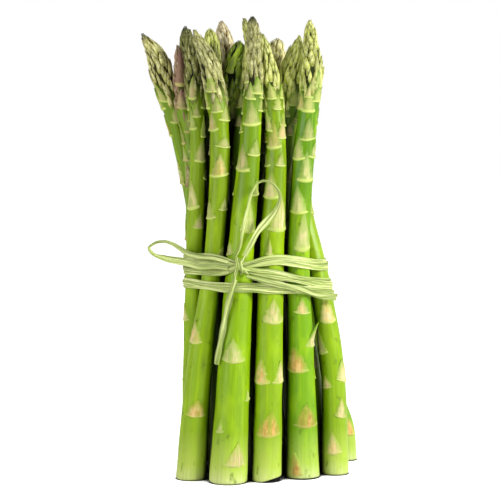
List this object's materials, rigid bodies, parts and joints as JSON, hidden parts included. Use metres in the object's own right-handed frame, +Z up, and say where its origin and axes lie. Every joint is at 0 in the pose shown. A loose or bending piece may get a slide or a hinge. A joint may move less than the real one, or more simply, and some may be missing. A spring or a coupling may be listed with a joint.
{
  "type": "bundle of asparagus",
  "caption": "Tied bundle of green asparagus spears standing on their cut ends, with scaly pointed tips and a raffia bow round the waist.",
  "frame": {"origin": "centre of the spears' and the wound raffia's box, on the plane of the cut ends that the bundle stands on", "axes": "+Z up along the spears, -Y towards the front with the knot of the bow, +X to the right seen from the front"},
  "size_m": [0.0945, 0.0646, 0.195],
  "materials": {
    "spear_green": "fresh green skin, satin, paler towards the cut end, with cream and pink scale leaves",
    "spear_purple": "purple-brown scales on a green stem, satin",
    "raffia_green": "dry pale green fibre, matt, streaked along its length"
  },
  "bodies": {
    "root": {"spear_front_left": "spear_green", "spear_front_thick": "spear_green", "spear_front_middle": "spear_green", "spear_front_right": "spear_green", "spear_right": "spear_green", "spear_left_front": "spear_green", "spear_left_middle": "spear_green", "spear_left_leaning": "spear_green", "spear_left_purple": "spear_purple", "spear_inner_left": "spear_green", "spear_inner_front": "spear_green", "spear_inner_slender": "spear_green", "spear_inner_right": "spear_green", "spear_core_left": "spear_green", "spear_core_middle": "spear_green", "spear_core_right": "spear_green", "spear_outer_right": "spear_green", "spear_back_left": "spear_green", "spear_back_middle": "spear_green", "spear_back_right": "spear_green", "raffia_wrap_upper": "raffia_green", "raffia_wrap_lower": "raffia_green", "raffia_knot": "raffia_green", "raffia_loop_left": "raffia_green", "raffia_loop_upper": "raffia_green", "raffia_tail_left": "raffia_green", "raffia_tail_right": "raffia_green"}
  },
  "joints": []
}
